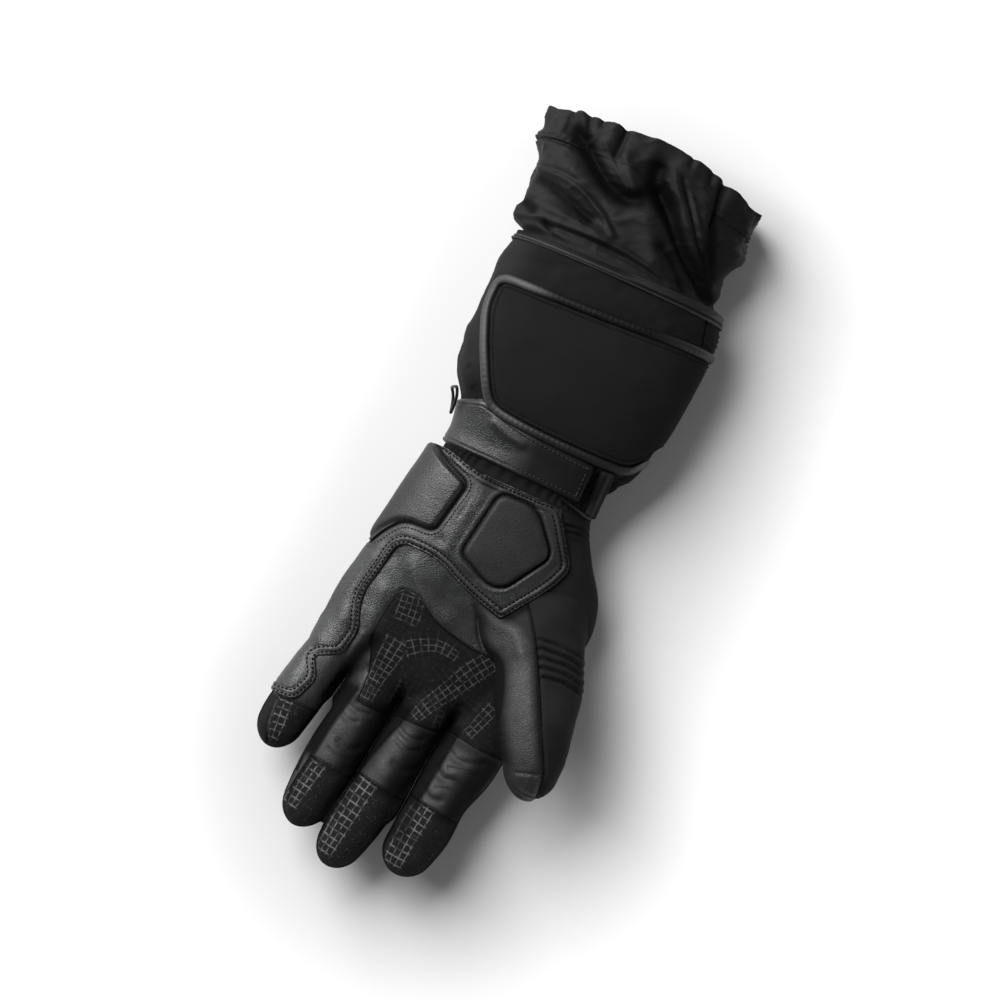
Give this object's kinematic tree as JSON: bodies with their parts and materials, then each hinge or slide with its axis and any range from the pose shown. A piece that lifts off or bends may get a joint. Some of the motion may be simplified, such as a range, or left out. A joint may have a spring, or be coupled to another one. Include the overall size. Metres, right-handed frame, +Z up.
{
  "type": "motorcycle glove",
  "caption": "Left-hand winter motorcycle glove with padded leather palm, grip patches, long gauntlet with closure flap, and gathered storm cuff, lying palm up.",
  "frame": {"origin": "on the flat underside that the glove rests on, under the heel of the palm, midway along the glove's length and width", "axes": "+Y from the fingertips towards the cuff, +X towards the thumb, +Z up out of the palm"},
  "size_m": [0.1472, 0.3834, 0.0597],
  "materials": {
    "leather": "fine grained black goatskin, half matt",
    "grip": "black synthetic suede with raised silicone grid lines",
    "softshell": "matt black stretch softshell",
    "nylon": "black woven nylon",
    "binding": "black edge tape and piping",
    "elastic": "gathered black elastic fabric",
    "metal": "black coated wire"
  },
  "bodies": {
    "root": {"back_softshell": "softshell", "back_little": "softshell", "back_ring": "softshell", "back_middle": "softshell", "back_index": "softshell", "side_softshell": "softshell", "thumb_softshell": "softshell", "palm_leather": "leather", "front_middle": "leather", "front_index": "leather", "thumb_leather": "leather", "palm_overlay": "leather", "heel_pad": "leather", "thenar_pad": "leather", "palm_grip": "grip", "tip_little": "grip", "tip_ring": "grip", "tip_middle": "grip", "tip_index": "grip", "wrist_gather": "elastic", "gauntlet": "softshell", "top_facing": "binding", "cuff_flap": "nylon", "flap_binding": "binding", "wrist_strap": "leather", "strap_keeper": "leather", "strap_ring": "metal", "glove_hook": "metal", "storm_cuff": "nylon", "cuff_hem": "nylon"}
  },
  "joints": []
}
